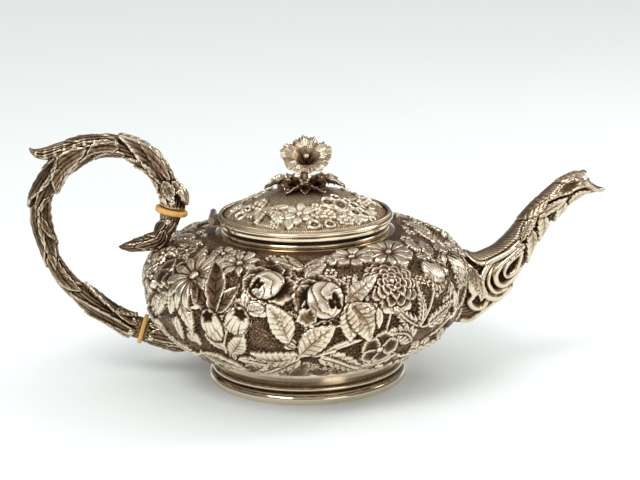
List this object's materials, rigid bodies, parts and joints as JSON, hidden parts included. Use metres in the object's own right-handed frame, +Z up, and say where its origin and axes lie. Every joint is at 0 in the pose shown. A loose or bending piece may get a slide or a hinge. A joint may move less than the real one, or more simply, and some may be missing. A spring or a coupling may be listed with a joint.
{
  "type": "teapot",
  "caption": "Squat round silver teapot on a foot ring, with a chased floral body, hinged domed lid, flower finial, curved spout and an insulated leafy handle.",
  "frame": {"origin": "centre of the foot ring on the table", "axes": "+X along the spout, +Y to the far side when the spout points right, +Z up"},
  "size_m": [0.2855, 0.164, 0.1252],
  "materials": {
    "silver_chased": "silver with dark patina in the recesses",
    "silver_polished": "warm polished silver",
    "ivory_insulator": "aged yellow ivory-like"
  },
  "bodies": {
    "pot": {"body_shell": "silver_chased", "foot_ring": "silver_polished", "neck_collar": "silver_polished", "spout": "silver_chased", "upper_socket": "silver_chased", "lower_socket": "silver_chased", "upper_insulator": "ivory_insulator", "lower_insulator": "ivory_insulator", "handle_grip": "silver_chased", "insulator_pins": "silver_polished", "hinge_collar_leaf": "silver_polished", "hinge_pin": "silver_polished"},
    "lid": {"hinge_lid_leaf": "silver_polished", "lid_rim": "silver_polished", "lid_bezel": "silver_polished", "lid_bead_wire": "silver_polished", "lid_dome": "silver_chased", "finial_leaves": "silver_chased", "finial_collar": "silver_polished", "finial_stem": "silver_polished", "finial_flower": "silver_chased", "finial_pistil": "silver_polished", "finial_washer": "silver_polished", "finial_nut": "silver_polished"}
  },
  "joints": [
    {"name": "lid_hinge", "type": "hinge", "parent": "pot", "child": "lid", "pos_m": [-0.0462, 0, 0.0827], "axis": [0, -1, 0], "range_deg": [0, 75]}
  ]
}
